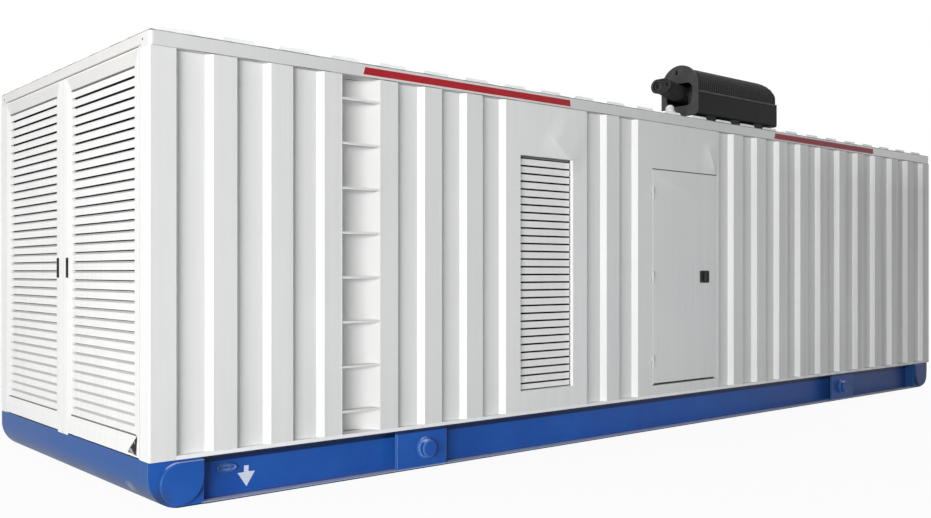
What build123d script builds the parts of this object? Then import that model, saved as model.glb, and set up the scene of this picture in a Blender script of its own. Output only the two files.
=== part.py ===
# Containerized diesel generator: an insulated steel enclosure on a channel-beam skid.
# +X runs along the enclosure from the louvred end, -Y is the side with the ladder and the
# door, +Z is up. The origin is on the ground under the middle of the enclosure.
from build123d import *
import os

# Enclosure
length = 9000
width = 2500
height = 2500
skid_height = 258
wall_thickness = 100
seat_gap = 0.3

# Corner posts, roof rails, headers and sills
post_side_face = 150
post_end_face = 116
post_edge_radius = 8
rail_height = 88
rail_depth = 106
rail_lip = 5
rail_corner_radius = 24
header_height = 72
header_depth = 110
sill_height = 22

# Corrugated sheet of the walls
fold_depth = 38
fold_run = 31
valley_share = 0.6
front_valley_count = 3
second_valley_count = 3
third_valley_count = 2
rear_valley_count = 11
left_front_valley_count = 7
left_rear_valley_count = 16
end_valley_count = 6

# Roof sheet
roof_sheet = 10
roof_setback = 15
ridge_setback = 60
ridge_count = 25
ridge_height = 30
ridge_run = 20
ridge_share = 0.64

# Ladder niche, placed from the louvred end
ladder_from = 1202
ladder_width = 295
ladder_lip = 6
ladder_depth = 120
ladder_back = 10
ladder_flat_front = 120
ladder_flat_rear = 133
rung_count = 8
rung_first = 154
rung_last = 140
rung_depth = 50
rung_thickness = 14
rung_setback = 4

# Air intake louvres of the long sides
louvre_panel_from = 2561
louvre_panel_width = 827
louvre_from = 140
louvre_width = 535
louvre_bottom = 422
louvre_head = 366
louvre_recess = 28
side_blade_pitch = 53

# Louvre blades, folded from sheet: an upright lip, and a fold that rises inwards from the lower
# edge of the lip in the long sides, and from its upper edge in the end doors
blade_sheet = 3
blade_lip = 42
blade_run = 26
top_blade_gap = 21
end_blade_lip = 38
end_blade_run = 18
end_blade_rise = 11

# Side doorway and its leaf
door_panel_from = 3978
door_panel_width = 1074
doorway_from = 4154
doorway_width = 872
doorway_bottom = 354
doorway_head = 363
door_gap = 6
leaf_thickness = 55
leaf_edge_radius = 4
stop_lap = 22
latch_width = 120
latch_height = 100
latch_thickness = 7
latch_corner = 14
latch_from_edge = 119
latch_share = 0.5
latch_border = 13
paddle_proud = 9

# Lift-off hinges of the side door
hinge_radius = 7
hinge_standoff = 8
hinge_tab = 4
hinge_tab_reach = 30
hinge_half = 45
hinge_shares = (0.11, 0.5, 0.89)

# Pair of louvred doors in the end, turning on pivots at their top and bottom edges
end_leaf_depth = 60
end_hinge_gap = 9
end_meeting_gap = 8
end_edge_gap = 8
end_hinge_stile = 10
end_meeting_stile = 60
end_top_rail = 8
end_foot_rail = 65
bevel_width = 66
bevel_top = 77
bevel_foot = 52
bevel_depth = 7
end_blade_pitch = 54.3
end_blade_recess = 9
pivot_in = 12
pivot_behind = 9
pivot_radius = 6
torn_width = 119
torn_height = 118
torn_rise = 14
torn_inset = 23
handle_length = 122
handle_width = 8
handle_proud = 13
handle_from_middle = 79
handle_share = 0.465
handle_edge_radius = 3

# Skid
beam_setback = 20
beam_flange = 84
flange_thickness = 12
web_thickness = 10
beam_root_radius = 14
corner_length = 320
corner_radius = 180
corner_setback = 24
end_plate_thickness = 14
end_plate_reach = 230
pad_from = 58
pad_bottom = 16
pad_width = 256
pad_height = 226
pad_straight_share = 0.4
pad_round_share = 0.44
pad_thickness = 26
pad_edge_radius = 9
floor_thickness = 20
member_count = 9
member_width = 100
member_depth = 190
member_wall = 10
lift_plate_from = 1637
lift_plate_width = 406
lift_plate_thickness = 18
bollard_share = 0.559
bollard_radius = 55
bollard_length = 34
bollard_collar_radius = 65
bollard_collar_length = 16
bollard_chamfer = 5

# Silencer on the roof
silencer_from = 4850
silencer_length = 1205
silencer_width = 348
silencer_offset = 66
silencer_clearance = 50
silencer_spring = 248
silencer_nose_radius = 190
cover_sheet = 6
cover_rib_height = 3
cover_rib_pitch = 28
cover_rib_share = 0.55
cover_skirt = 42
cover_ledge = 12
end_frame_thickness = 14
end_frame_border = 6
end_frame_corner = 40
casing_corner = 20
pocket_depth = 240
pocket_margin = 44
pocket_floor = 83
pocket_height = 193
pocket_corner = 60
inlet_reach = 136
inlet_flange_thickness = 30
inlet_flange_length = 196
inlet_flange_width = 118
inlet_neck_share = 0.85
inlet_root_width = 130
inlet_root_height = 140
inlet_rise = 71
inlet_shift = 76
port_radius = 42
port_depth = 26
small_port_radius = 23
small_port_margin = 8
throat_width = 140
throat_height = 125
throat_shift = 32
throat_rise = 22
pipe_radius = 32
pipe_setback = 24
pipe_shift = 76
pipe_edge_radius = 12
hook_width = 26
hook_height = 44
hook_drop = 30
hook_shift = 28
fitting_from = 4502
fitting_offset = 90
fitting_radius = 42
fitting_height = 60
fitting_flange = 12
fitting_share = 0.8
fitting_dome_radius = 30

# Worked-out levels and places
front = -length / 2
rear = length / 2
wall_bottom = skid_height + sill_height
wall_top = height - rail_height
rail_top = height - roof_sheet
louvre_top = wall_top - louvre_head
doorway_top = wall_top - doorway_head
header_bottom = height - header_height
roof_crest = height + ridge_height
door_panel_to = door_panel_from + door_panel_width
louvre_panel_to = louvre_panel_from + louvre_panel_width
doorway_to = doorway_from + doorway_width
leaf_from = doorway_from + door_gap
leaf_to = doorway_to - door_gap
leaf_bottom = doorway_bottom + door_gap
leaf_top = doorway_top - door_gap
latch_level = leaf_bottom + (leaf_top - leaf_bottom) * latch_share
rebate_depth = leaf_thickness + door_gap
beam_tip = width / 2 - beam_setback
beam_back = beam_tip - beam_flange - web_thickness

os.makedirs("parts", exist_ok=True)


def along(distance):
    """X of a place measured from the louvred end."""
    return front + distance


def across(side, depth):
    """Y of a place that lies a depth inside the outer face of a long side (-1 right, 1 left)."""
    return side * (width / 2 - depth)


def save(part, name):
    part.label = name
    export_step(part, f"parts/{name}.step")


def folds(start, stop, valleys):
    """Outer edge of a corrugated stretch as (distance, depth) points, valley first and last."""
    pitch = (stop - start) / (valleys - 1 + valley_share)
    points = []
    for i in range(valleys):
        mouth = start + i * pitch
        end = mouth + pitch * valley_share
        points += [(mouth, 0), (mouth + fold_run, fold_depth), (end - fold_run, fold_depth), (end, 0)]
    return points


def side_wall(side, outline):
    """Insulated wall of a long side: a plan outline of (distance, depth) points, carried up."""
    with BuildPart() as wall:
        with BuildSketch(Plane.XY.offset(wall_bottom)):
            with BuildLine():
                Polyline(*[(along(s), across(side, d)) for s, d in outline], close=True)
            make_face()
        extrude(amount=wall_top - wall_bottom)
    return wall.part


# Skid beams: rolled channels with their open side outwards, between the corner blocks
def skid_beam(side):
    with BuildPart() as beam:
        with BuildSketch(Plane.YZ.offset(along(corner_length))) as section:
            with BuildLine():
                tip, back = side * beam_tip, side * beam_back
                web = side * (beam_tip - beam_flange)
                Polyline(
                    (tip, 0),
                    (back, 0),
                    (back, skid_height),
                    (tip, skid_height),
                    (tip, skid_height - flange_thickness),
                    (web, skid_height - flange_thickness),
                    (web, flange_thickness),
                    (tip, flange_thickness),
                    close=True,
                )
            make_face()
            roots = [v for v in section.vertices() if abs(v.X - web) < seat_gap]
            fillet(roots, beam_root_radius)
        extrude(amount=length - 2 * corner_length)
    return beam.part


save(skid_beam(-1), "skid_beam_right")
save(skid_beam(1), "skid_beam_left")


# Corner blocks: boxed ends of the skid, with the lower corner rolled up
with BuildPart() as corners:
    for side in (-1, 1):
        outer = across(side, corner_setback)
        with BuildSketch(Plane.XZ.offset(-outer)) as block:
            with Locations((along(corner_length / 2), skid_height / 2)):
                Rectangle(corner_length, skid_height)
            fillet(block.vertices().sort_by_distance((front, 0))[0], corner_radius)
        extrude(amount=side * (abs(outer) - beam_back))
    mirror(about=Plane.YZ)
save(corners.part, "skid_corners")

# Corner pads: leaf-shaped plates welded to the outer faces of the corner blocks
with BuildPart() as pads:
    for side in (-1, 1):
        seat = across(side, corner_setback)
        with BuildSketch(Plane.XZ.offset(-seat)):
            left, right = along(pad_from), along(pad_from + pad_width)
            low, high = pad_bottom, pad_bottom + pad_height
            turn = left + pad_width * pad_round_share
            shoulder = high - pad_height * pad_straight_share
            bulge = 2**-0.5
            with BuildLine():
                Polyline((turn, high), (right, high), (right, shoulder))
                ThreePointArc(
                    (right, shoulder),
                    (turn + (right - turn) * bulge, shoulder - (shoulder - low) * bulge),
                    (turn, low),
                )
                ThreePointArc((turn, low), (left, (low + high) / 2), (turn, high))
            make_face()
        extrude(amount=-side * pad_thickness)
    faces = pads.faces().filter_by(Axis.Y)
    outer_faces = [f for f in faces if abs(f.center().Y) > width / 2]
    fillet([e for f in outer_faces for e in f.edges()], pad_edge_radius)
    mirror(about=Plane.YZ)
save(pads.part, "corner_pads")

# End plates: heavy sheet rolled under, closing the skid between the corner blocks
with BuildPart() as end_plates:
    with BuildSketch(Plane.XZ.offset(-beam_back)) as rolled:
        with Locations((along(end_plate_reach / 2), skid_height / 2)):
            Rectangle(end_plate_reach, skid_height)
        fillet(rolled.vertices().sort_by_distance((front, 0))[0], corner_radius)
        with BuildSketch(mode=Mode.SUBTRACT) as hollow:
            with Locations((end_plate_thickness, end_plate_thickness + height / 2)):
                Rectangle(length, height)
            near = (along(end_plate_thickness), end_plate_thickness)
            fillet(hollow.vertices().sort_by_distance(near)[0], corner_radius - end_plate_thickness)
    extrude(amount=2 * beam_back)
    mirror(about=Plane.YZ)
save(end_plates.part, "skid_end_plates")

# Floor: chequer plate on cross members, between the beams and the end plates
with BuildPart() as floor:
    with BuildSketch(Plane.XY.offset(skid_height - floor_thickness)):
        Rectangle(length - 2 * end_plate_thickness, 2 * beam_back)
    extrude(amount=floor_thickness)
save(floor.part, "floor_deck")

# Cross members: rolled I-sections from web to web under the floor
with BuildPart() as members:
    member_top = skid_height - floor_thickness
    step = (length - 2 * end_plate_reach) / (member_count + 1)
    places = [(front + end_plate_reach + step * (i + 1), member_top - member_depth / 2)
              for i in range(member_count)]
    with BuildSketch(Plane.XZ.offset(-beam_back)):
        with Locations(*places):
            Rectangle(member_wall, member_depth)
        with Locations(*[(x, member_top - member_wall / 2) for x, z in places]):
            Rectangle(member_width, member_wall)
        with Locations(*[(x, member_top - member_depth + member_wall / 2) for x, z in places]):
            Rectangle(member_width, member_wall)
    extrude(amount=2 * beam_back)
save(members.part, "cross_members")

# Lifting plates: doublers welded into the mouths of the beams at the four lifting points
with BuildPart() as lift_plates:
    for side in (-1, 1):
        with BuildSketch(Plane.XZ.offset(-side * beam_tip)):
            with Locations((along(lift_plate_from + lift_plate_width / 2), skid_height / 2)):
                Rectangle(lift_plate_width, skid_height - 2 * flange_thickness)
        extrude(amount=side * lift_plate_thickness)
    mirror(about=Plane.YZ)
save(lift_plates.part, "lifting_plates")

# Lifting bollards: turned studs with a collar, one on each lifting plate
with BuildPart() as bollards:
    for side in (-1, 1):
        seat = beam_tip
        x = along(lift_plate_from + lift_plate_width * bollard_share)
        shank_start = seat + bollard_collar_length
        shank_end = shank_start + bollard_length
        with BuildSketch(Plane.XY.offset(skid_height / 2)):
            with BuildLine():
                Polyline(
                    (x, side * seat),
                    (x + bollard_collar_radius, side * seat),
                    (x + bollard_collar_radius, side * (shank_start - bollard_chamfer)),
                    (x + bollard_collar_radius - bollard_chamfer, side * shank_start),
                    (x + bollard_radius, side * shank_start),
                    (x + bollard_radius, side * (shank_end - bollard_chamfer)),
                    (x + bollard_radius - bollard_chamfer, side * shank_end),
                    (x, side * shank_end),
                    close=True,
                )
            make_face()
        revolve(axis=Axis((x, 0, skid_height / 2), (0, 1, 0)))
    mirror(about=Plane.YZ)
save(bollards.part, "lifting_bollards")


# Corner posts: folded box sections with a rounded outer edge
with BuildPart() as posts:
    for end in (-1, 1):
        for side in (-1, 1):
            with BuildSketch(Plane.XY.offset(skid_height)) as section:
                middle = (end * (rear - post_side_face / 2), side * (width - post_end_face) / 2)
                with Locations(middle):
                    Rectangle(post_side_face, post_end_face)
                outer = (end * rear, side * width / 2)
                fillet(section.vertices().sort_by_distance(outer)[0], post_edge_radius)
            extrude(amount=wall_top - skid_height)
save(posts.part, "corner_posts")

# Roof rails: box rails along both long sides, with a drip lip and rounded ends
with BuildPart() as rails:
    for side in (-1, 1):
        with BuildSketch(Plane.YZ.offset(front)) as section:
            with Locations((across(side, rail_depth / 2), (wall_top + rail_top) / 2)):
                Rectangle(rail_depth, rail_top - wall_top)
            lip = (side * width / 2, wall_top)
            chamfer(section.vertices().sort_by_distance(lip)[0], rail_lip)
        extrude(amount=length)
    ends = [e for e in rails.edges().filter_by(Axis.Z) if abs(e.center().Y) > width / 2 - rail_lip]
    fillet(ends, rail_corner_radius)
save(rails.part, "roof_rails")

# Headers: box rails over the end doors and over the rear wall, between the roof rails
with BuildPart() as headers:
    with BuildSketch(Plane.XZ.offset(rail_depth - width / 2)) as section:
        with Locations((along(header_depth / 2), (header_bottom + rail_top) / 2)):
            Rectangle(header_depth, rail_top - header_bottom)
        lip = (front, header_bottom)
        chamfer(section.vertices().sort_by_distance(lip)[0], rail_lip)
    extrude(amount=width - 2 * rail_depth)
    mirror(about=Plane.YZ)
save(headers.part, "end_headers")

# Sills: flat strips that the side walls stand on
with BuildPart() as sills:
    with BuildSketch(Plane.XY.offset(skid_height)):
        with GridLocations(0, width - wall_thickness, 1, 2):
            Rectangle(length - 2 * post_side_face, wall_thickness)
    extrude(amount=sill_height)
save(sills.part, "wall_sills")

# Roof: ribbed sheet over the rails, on an insulated core between them
with BuildPart() as roof:
    roof_length = length - 2 * roof_setback
    pitch = roof_length / ridge_count
    top_line = []
    for i in range(ridge_count):
        middle = front + roof_setback + pitch * (i + 1 / 2)
        half = pitch * ridge_share / 2
        top_line += [
            (middle - half, height),
            (middle - half + ridge_run, roof_crest),
            (middle + half - ridge_run, roof_crest),
            (middle + half, height),
        ]
    with BuildSketch(Plane.XY.offset(rail_top)):
        Rectangle(roof_length, width - 2 * roof_setback)
    extrude(amount=roof_sheet)
    with BuildSketch(Plane.XZ.offset(ridge_setback - width / 2)):
        with BuildLine():
            start, stop = front + roof_setback, rear - roof_setback
            Polyline((start, rail_top), (start, height), *top_line, (stop, height), (stop, rail_top), close=True)
        make_face()
    extrude(amount=width - 2 * ridge_setback)
    with BuildSketch(Plane.XY.offset(wall_top)):
        Rectangle(length - 2 * header_depth, width - 2 * rail_depth)
    extrude(amount=rail_top - wall_top)
save(roof.part, "roof_panel")

# Side walls with the ladder and the door, from the louvred end to the rear
inner_start = [(post_side_face, wall_thickness)]
outline = folds(post_side_face, ladder_from - ladder_flat_front, front_valley_count)
outline += [(ladder_from, 0), (ladder_from, wall_thickness)] + inner_start
save(side_wall(-1, outline), "wall_right_front")

second_from = ladder_from + ladder_width
outline = [(second_from, 0)]
outline += folds(second_from + ladder_flat_rear, louvre_panel_from, second_valley_count)
outline += [(louvre_panel_from, wall_thickness), (second_from, wall_thickness)]
save(side_wall(-1, outline), "wall_right_second")

outline = folds(louvre_panel_to, door_panel_from, third_valley_count)
outline += [
    (doorway_from, 0),
    (doorway_from, rebate_depth),
    (doorway_from + stop_lap, rebate_depth),
    (doorway_from + stop_lap, wall_thickness),
    (louvre_panel_to, wall_thickness),
]
save(side_wall(-1, outline), "wall_right_third")

outline = [
    (doorway_to - stop_lap, wall_thickness),
    (doorway_to - stop_lap, rebate_depth),
    (doorway_to, rebate_depth),
    (doorway_to, 0),
]
outline += folds(door_panel_to, length - post_side_face, rear_valley_count)
outline += [(length - post_side_face, wall_thickness)]
save(side_wall(-1, outline), "wall_right_rear")

# Side wall opposite: the same sheet and louvre, with no ladder and no door
outline = folds(post_side_face, louvre_panel_from, left_front_valley_count)
outline += [(louvre_panel_from, wall_thickness)] + inner_start
save(side_wall(1, outline), "wall_left_front")

outline = folds(louvre_panel_to, length - post_side_face, left_rear_valley_count)
outline += [(length - post_side_face, wall_thickness), (louvre_panel_to, wall_thickness)]
save(side_wall(1, outline), "wall_left_rear")

# Rear end wall: corrugated sheet between the posts, from the skid to the header
with BuildPart() as rear_wall:
    inner_half = width / 2 - post_end_face
    with BuildSketch(Plane.XY.offset(skid_height)):
        outline = [(rear - d, y) for y, d in folds(-inner_half, inner_half, end_valley_count)]
        outline += [(rear - wall_thickness, inner_half), (rear - wall_thickness, -inner_half)]
        with BuildLine():
            Polyline(*outline, close=True)
        make_face()
    extrude(amount=header_bottom - skid_height)
save(rear_wall.part, "wall_rear")

# Ladder niche: a trough of rolled sheet let into the wall, open to the outside
niche_middle = along(ladder_from + ladder_width / 2)
niche_half = ladder_width / 2 - ladder_lip
niche_radius = (niche_half**2 + ladder_depth**2) / (2 * ladder_depth)
niche_axis_y = across(-1, ladder_depth - niche_radius)
with BuildPart() as niche:
    niche_total = ladder_depth + ladder_back
    with BuildSketch(Plane.XY.offset(wall_bottom)):
        with Locations((niche_middle, across(-1, niche_total / 2))):
            Rectangle(ladder_width, niche_total)
        with Locations((niche_middle, niche_axis_y)):
            Circle(niche_radius, mode=Mode.SUBTRACT)
    extrude(amount=wall_top - wall_bottom)
save(niche.part, "ladder_niche")

# Ladder rungs: flat treads welded across the niche, rounded to its back
with BuildPart() as rungs:
    rung_low = skid_height + rung_first
    rung_pitch = (wall_top - rung_last - rung_low) / (rung_count - 1)
    for i in range(rung_count):
        with BuildSketch(Plane.XY.offset(rung_low + i * rung_pitch - rung_thickness / 2)):
            with Locations((niche_middle, niche_axis_y)):
                Circle(niche_radius - seat_gap)
            with Locations((niche_middle, across(-1, rung_setback + rung_depth / 2))):
                Rectangle(ladder_width, rung_depth, mode=Mode.INTERSECT)
        extrude(amount=rung_thickness)
save(rungs.part, "ladder_rungs")


# Louvre panels: flat sheet panels with a framed opening
louvre_height = louvre_top - louvre_bottom
louvre_middle = along(louvre_panel_from + louvre_from + louvre_width / 2)
panel_middle = along(louvre_panel_from + louvre_panel_width / 2)


def louvre_panel(side):
    with BuildPart() as panel:
        with BuildSketch(Plane.XZ.offset(-side * width / 2)):
            with Locations((panel_middle, (wall_bottom + wall_top) / 2)):
                Rectangle(louvre_panel_width, wall_top - wall_bottom)
            with Locations((louvre_middle, (louvre_bottom + louvre_top) / 2)):
                Rectangle(louvre_width, louvre_height, mode=Mode.SUBTRACT)
        extrude(amount=side * wall_thickness)
    return panel.part


side_blade_profile = [
    (0, 0),
    (0, blade_lip),
    (blade_sheet, blade_lip),
    (blade_sheet, blade_sheet * 2**0.5),
    (blade_run, blade_run),
    (blade_run, blade_run - blade_sheet * 2**0.5),
    (blade_sheet / 2, 0),
]
end_blade_profile = [
    (0, 0),
    (0, end_blade_lip),
    (end_blade_run, end_blade_lip + end_blade_rise),
    (end_blade_run, end_blade_lip + end_blade_rise - blade_sheet),
    (blade_sheet, end_blade_lip - blade_sheet),
    (blade_sheet, 0),
]


def blade_levels(low, high, pitch):
    """Lower edges of evenly spaced blades, from the lowest blade to the highest."""
    steps = round((high - low) / pitch)
    return [low + (high - low) * i / steps for i in range(steps + 1)]


def side_blades(side):
    with BuildPart() as blades:
        highest = louvre_top - blade_lip - top_blade_gap
        levels = blade_levels(louvre_bottom, highest, side_blade_pitch)
        with BuildSketch(Plane.YZ.offset(louvre_middle - louvre_width / 2)):
            with Locations(*[(across(side, louvre_recess), z) for z in levels]):
                Polygon(*[(-side * d, z) for d, z in side_blade_profile], align=None)
        extrude(amount=louvre_width)
    return blades.part


for side, side_name in ((-1, "right"), (1, "left")):
    save(louvre_panel(side), f"louvre_panel_{side_name}")
    save(side_blades(side), f"louvre_blades_{side_name}")


# Door head and threshold: wall over and under the doorway, rebated for the leaf
def doorway_piece(low, high, stop_low, stop_high):
    middle = along((doorway_from + doorway_to) / 2)
    with BuildPart() as piece:
        with BuildSketch(Plane.XZ.offset(width / 2)):
            with Locations((middle, (low + high) / 2)):
                Rectangle(doorway_width, high - low)
        extrude(amount=-rebate_depth)
        with BuildSketch(Plane.XZ.offset(width / 2 - rebate_depth)):
            with Locations((middle, (stop_low + stop_high) / 2)):
                Rectangle(doorway_width - 2 * stop_lap, stop_high - stop_low)
        extrude(amount=rebate_depth - wall_thickness)
    return piece.part


save(doorway_piece(doorway_top, wall_top, doorway_top - stop_lap, wall_top), "door_head")
save(
    doorway_piece(wall_bottom, doorway_bottom, wall_bottom, doorway_bottom + stop_lap),
    "door_threshold",
)

# Side door: a flush insulated leaf with softly folded edges
with BuildPart() as leaf:
    with BuildSketch(Plane.XZ.offset(width / 2)):
        with Locations((along((leaf_from + leaf_to) / 2), (leaf_bottom + leaf_top) / 2)):
            Rectangle(leaf_to - leaf_from, leaf_top - leaf_bottom)
    extrude(amount=-leaf_thickness)
    fillet(leaf.faces().sort_by(Axis.Y)[0].edges(), leaf_edge_radius)
save(leaf.part, "side_door")

# Paddle latch: a dished plate with rounded corners and a raised paddle in it
with BuildPart() as latch:
    latch_x = along(leaf_to - latch_from_edge - latch_width / 2)
    with BuildSketch(Plane.XZ.offset(width / 2)):
        with Locations((latch_x, latch_level)):
            RectangleRounded(latch_width, latch_height, latch_corner)
    extrude(amount=latch_thickness)
    with BuildSketch(Plane.XZ.offset(width / 2 + latch_thickness)):
        with Locations((latch_x, latch_level)):
            inner_width = latch_width - 2 * latch_border
            inner_height = latch_height - 2 * latch_border
            RectangleRounded(inner_width, inner_height, latch_corner / 2)
    extrude(amount=-latch_thickness / 2, mode=Mode.SUBTRACT)
    with BuildSketch(Plane.XZ.offset(width / 2 + latch_thickness / 2)):
        with Locations((latch_x, latch_level)):
            RectangleRounded(inner_width / 2, inner_height - latch_border, latch_corner / 2)
    extrude(amount=paddle_proud - latch_thickness / 2)
save(latch.part, "side_door_latch")


# Hinges: lift-off pairs, a fixed knuckle under a knuckle that the door carries
hinge_x = along(doorway_from + door_gap / 2)
hinge_y = -width / 2 - hinge_standoff
hinge_levels = [leaf_bottom + (leaf_top - leaf_bottom) * share for share in hinge_shares]


def hinge_plates(reach, low, high):
    """Knuckles with a tab that reaches along X, between two heights about each hinge level."""
    with BuildPart() as plates:
        for level in hinge_levels:
            with BuildSketch(Plane.XY.offset(level + low)):
                with Locations((hinge_x, hinge_y)):
                    Circle(hinge_radius)
                tab = hinge_tab_reach - door_gap / 2
                tab_x = hinge_x + reach * (door_gap + tab) / 2
                with Locations((tab_x, -width / 2 - hinge_tab / 2)):
                    Rectangle(tab, hinge_tab)
                with Locations((hinge_x + reach * hinge_radius / 2, hinge_y + hinge_tab / 2)):
                    Rectangle(hinge_radius, hinge_tab)
            extrude(amount=high - low)
    return plates.part


save(hinge_plates(-1, -hinge_half, 0), "door_frame_hinges")
save(hinge_plates(1, seat_gap, hinge_half), "side_door_hinges")

# End doors: framed leaves with a bevelled surround, a blank foot and a field of fixed blades
end_bottom = skid_height + end_edge_gap
end_top = header_bottom - end_edge_gap
outer_edge = width / 2 - post_end_face - end_hinge_gap
inner_edge = end_meeting_gap / 2
bevel_outer = outer_edge - end_hinge_stile
bevel_inner = inner_edge + end_meeting_stile
bevel_low = end_bottom + end_foot_rail
bevel_high = end_top - end_top_rail
handle_level = end_bottom + (end_top - end_bottom) * handle_share
field_outer = bevel_outer - bevel_width
field_inner = bevel_inner + bevel_width
field_bottom = bevel_low + bevel_foot
field_top = bevel_high - bevel_top


def end_rectangle(side, inner, outer, low, high, depth):
    """Upright rectangle between two distances from the middle, a depth behind the end face."""
    with BuildSketch(Plane.YZ.offset(front + depth)) as upright:
        with Locations((side * (inner + outer) / 2, (low + high) / 2)):
            Rectangle(outer - inner, high - low)
    return upright.sketch


def end_door(side, torn):
    with BuildPart() as door:
        leaf_face = end_rectangle(side, inner_edge, outer_edge, end_bottom, end_top, 0)
        extrude(leaf_face, amount=end_leaf_depth)
        field = end_rectangle(side, field_inner, field_outer, field_bottom, field_top, 0)
        extrude(field, amount=end_leaf_depth, mode=Mode.SUBTRACT)
        mouth = end_rectangle(side, bevel_inner, bevel_outer, bevel_low, bevel_high, 0)
        throat = end_rectangle(side, field_inner, field_outer, field_bottom, field_top, bevel_depth)
        loft([mouth, throat], ruled=True, mode=Mode.SUBTRACT)
        if torn:
            corner_y, corner_z = side * (outer_edge - end_hinge_stile - torn_inset), end_bottom
            with BuildSketch(Plane.YZ.offset(front)):
                with BuildLine():
                    Polyline(
                        (corner_y, corner_z + end_edge_gap),
                        (corner_y, corner_z + torn_height),
                        (corner_y - side * torn_width, corner_z + torn_rise),
                        close=True,
                    )
                make_face()
            extrude(amount=end_leaf_depth, mode=Mode.SUBTRACT)
        pivot = (front + pivot_behind, side * (outer_edge - pivot_in))
        for level, reach in ((end_top, 1), (end_bottom, -1)):
            with BuildSketch(Plane.XY.offset(level)):
                with Locations(pivot):
                    Circle(pivot_radius)
            extrude(amount=reach * (end_edge_gap - seat_gap))
    return door.part


def end_blades(side):
    with BuildPart() as blades:
        start = min(side * field_inner, side * field_outer)
        stop = max(side * field_inner, side * field_outer)
        highest = field_top - end_blade_lip - end_blade_rise
        levels = blade_levels(field_bottom, highest, end_blade_pitch)
        with BuildSketch(Plane.XZ.offset(-stop)):
            with Locations(*[(front + end_blade_recess, z) for z in levels]):
                Polygon(*end_blade_profile, align=None)
        extrude(amount=stop - start)
    return blades.part


# Pull handles: slim upright bars on the bevels beside the meeting stiles
def end_handle(side):
    inner, outer = handle_from_middle - handle_width / 2, handle_from_middle + handle_width / 2
    seat = [front + bevel_depth * (y - bevel_inner) / bevel_width for y in (inner, outer)]
    with BuildPart() as handle:
        with BuildSketch(Plane.XY.offset(handle_level - handle_length / 2)):
            with BuildLine():
                Polyline(
                    (seat[0], side * inner),
                    (seat[1], side * outer),
                    (seat[0] - handle_proud, side * outer),
                    (seat[0] - handle_proud, side * inner),
                    close=True,
                )
            make_face()
        extrude(amount=handle_length)
        fillet(handle.faces().sort_by(Axis.X)[0].edges(), handle_edge_radius)
    return handle.part


for side, side_name, torn in ((-1, "right", True), (1, "left", False)):
    save(end_door(side, torn), f"end_door_{side_name}")
    save(end_blades(side), f"end_door_{side_name}_blades")
    save(end_handle(side), f"end_door_{side_name}_handle")

# Silencer casing: a steel box with a half-round core on it that is rolled down at the rear, and a
# round-cornered pocket in its front end
silencer_y = across(-1, silencer_offset + silencer_width / 2)
silencer_front = along(silencer_from)
silencer_rear = silencer_front + silencer_length
silencer_half = silencer_width / 2
silencer_base = height + silencer_clearance
spring_level = silencer_base + silencer_spring
ledge_level = spring_level - cover_skirt
pocket_level = silencer_base + pocket_floor + pocket_height / 2
pocket_width = silencer_width - 2 * pocket_margin
rib_radius = silencer_half - cover_ledge
sheet_radius = rib_radius - cover_rib_height
casing_radius = sheet_radius - cover_sheet


def loaf(half, low, corner):
    """Section with upright sides, a round top and rounded lower corners, at the silencer's front."""
    with BuildSketch(Plane.YZ.offset(silencer_front)) as section:
        with BuildLine():
            Polyline(
                (silencer_y - half, spring_level),
                (silencer_y - half, low),
                (silencer_y + half, low),
                (silencer_y + half, spring_level),
            )
            ThreePointArc(
                (silencer_y + half, spring_level),
                (silencer_y, spring_level + half),
                (silencer_y - half, spring_level),
            )
        make_face()
        if corner:
            fillet(section.vertices().group_by(Axis.Y)[0], corner)
    return section.sketch


def side_view(radius, inset):
    """Side view of the half-round part, its upper rear corner rolled down, a little inside the end."""
    top, stop = spring_level + radius, silencer_rear - inset
    with BuildSketch(Plane.XZ.offset(silencer_half - silencer_y)) as view:
        with Locations(((silencer_front + stop) / 2, (ledge_level + top) / 2)):
            Rectangle(stop - silencer_front, top - ledge_level)
        fillet(view.vertices().sort_by_distance((stop, top))[0], silencer_nose_radius - inset)
    return view.sketch


def pocket():
    with BuildSketch(Plane.YZ.offset(silencer_front)) as mouth:
        with Locations((silencer_y, pocket_level)):
            RectangleRounded(pocket_width, pocket_height, pocket_corner)
    return mouth.sketch


with BuildPart() as casing:
    extrude(loaf(casing_radius, ledge_level, 0), amount=silencer_length)
    extrude(side_view(casing_radius, cover_sheet), amount=-2 * silencer_half, mode=Mode.INTERSECT)
    with BuildSketch(Plane.YZ.offset(silencer_front)) as box:
        with Locations((silencer_y, (silencer_base + ledge_level) / 2)):
            Rectangle(silencer_width, ledge_level - silencer_base)
        chamfer(box.vertices().group_by(Axis.Y)[-1], cover_ledge)
        fillet(box.vertices().group_by(Axis.Y)[0], casing_corner)
    extrude(amount=silencer_length)
    extrude(pocket(), amount=pocket_depth, mode=Mode.SUBTRACT)
save(casing.part, "silencer_casing")

# Silencer cover: half-round sheet with pressed ribs over the core, rolled down with it
with BuildPart() as cover:
    extrude(loaf(sheet_radius, ledge_level, 0), amount=silencer_length)
    rib_count = int(silencer_length / cover_rib_pitch)
    rib_step = silencer_length / rib_count
    rib_section = loaf(rib_radius, ledge_level, 0)
    for i in range(rib_count):
        place = rib_step * (i + (1 - cover_rib_share) / 2)
        extrude(rib_section.moved(Location((place, 0, 0))), amount=rib_step * cover_rib_share)
    extrude(side_view(rib_radius, 0), amount=-2 * silencer_half, mode=Mode.INTERSECT)
    with BuildPart(mode=Mode.SUBTRACT):
        extrude(loaf(casing_radius + seat_gap, ledge_level, 0), amount=silencer_length)
        inner_view = side_view(casing_radius + seat_gap, cover_sheet - seat_gap)
        extrude(inner_view, amount=-2 * silencer_half, mode=Mode.INTERSECT)
save(cover.part, "silencer_cover")

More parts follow.
